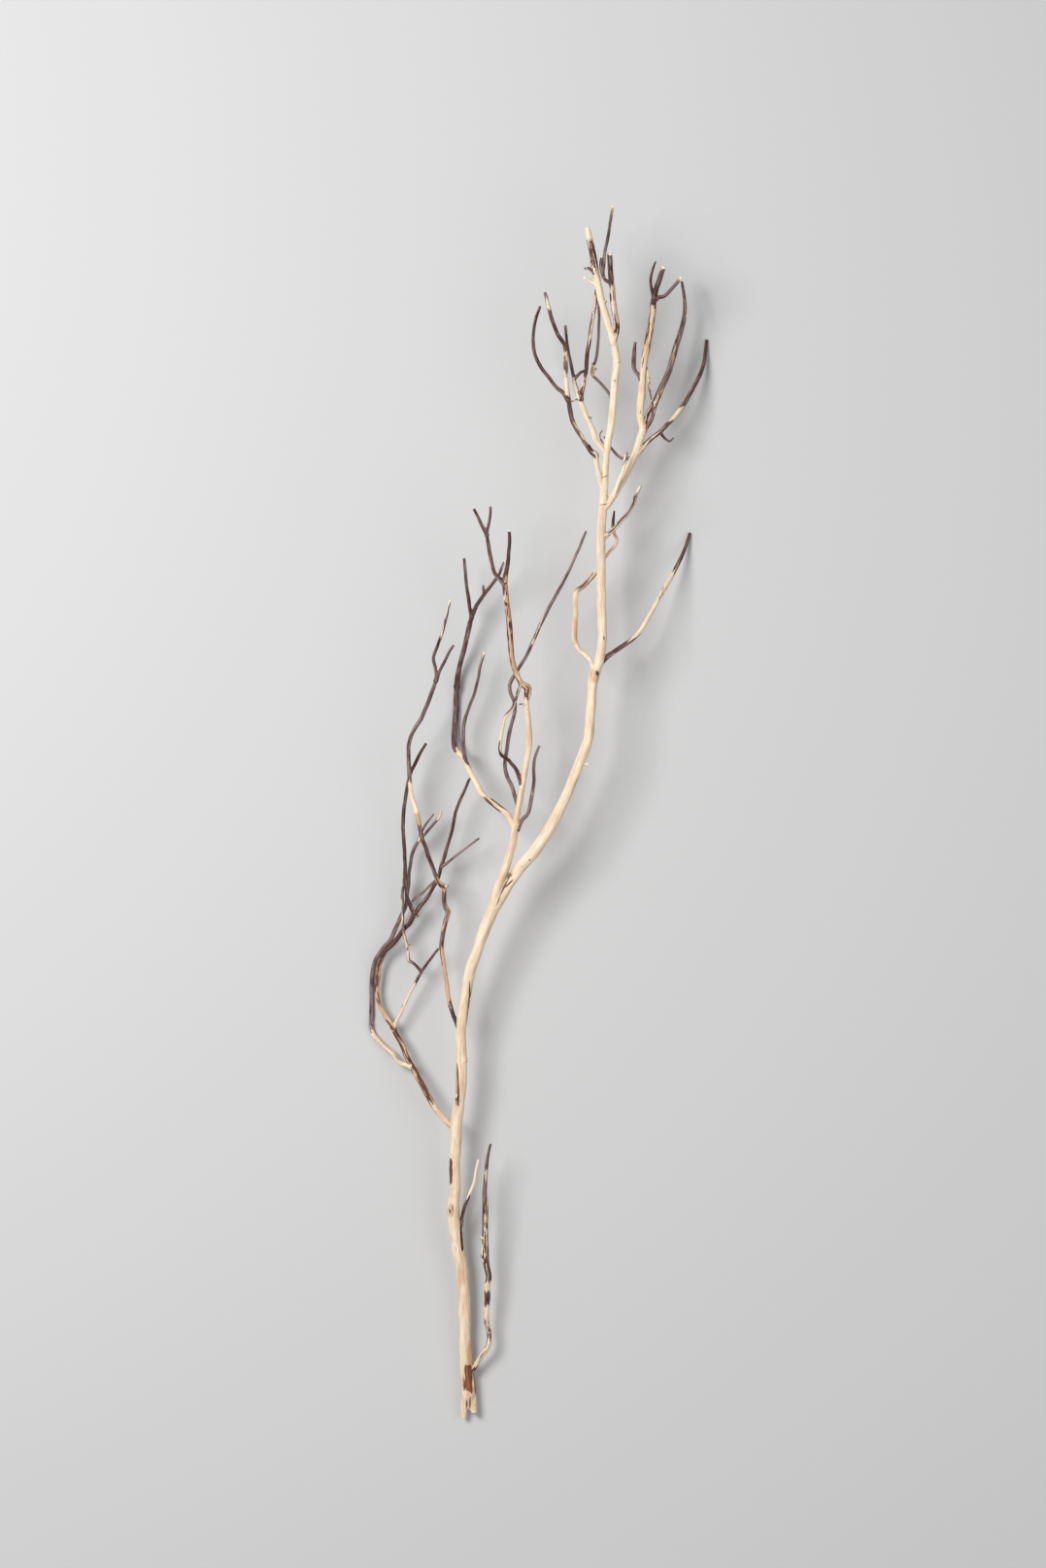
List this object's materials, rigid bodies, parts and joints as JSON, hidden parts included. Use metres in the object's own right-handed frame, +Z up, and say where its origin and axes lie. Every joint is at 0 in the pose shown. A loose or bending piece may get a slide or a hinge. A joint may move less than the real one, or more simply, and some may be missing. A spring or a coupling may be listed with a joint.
{
  "type": "fallen tree branch",
  "caption": "Dead, mostly barkless tree branch with a forked trunk and a crown of thin dry twigs, lying on the ground propped on its butt and twigs.",
  "frame": {"origin": "centre of the lying branch's footprint, on the ground", "axes": "+Y along the branch from its broken butt to its crown, +Z up from the ground it lies on"},
  "size_m": [0.3506, 1.2502, 0.1167],
  "materials": {
    "bare_wood": "bare weathered wood, matte",
    "weathered_twig": "thin bark worn through to pale wood, matte",
    "bark_twig": "thin reddish brown bark, matte"
  },
  "bodies": {
    "root": {"lower_stem": "bare_wood", "butt_side_twig": "weathered_twig", "right_leader": "bare_wood", "left_leader": "bare_wood", "trailing_twig": "bark_twig", "outer_left_limb": "bare_wood", "outer_left_tip": "bark_twig", "middle_left_limb": "weathered_twig", "middle_left_tip": "bark_twig", "lower_left_limb": "weathered_twig", "inner_loop": "weathered_twig", "outer_loop": "weathered_twig", "upright_twig": "bark_twig", "diagonal_twig": "bark_twig", "cross_twig": "weathered_twig", "crown_leader": "bare_wood", "crown_twin_twig": "weathered_twig", "crown_left_twig": "weathered_twig", "crown_middle_twig": "bark_twig", "crown_right_limb": "bare_wood", "crown_right_inner": "weathered_twig", "crown_right_outer": "bark_twig", "crown_side_twig": "bark_twig", "leader_short_twig": "weathered_twig", "leader_loop_twig": "bare_wood", "leader_long_twig": "weathered_twig"}
  },
  "joints": []
}
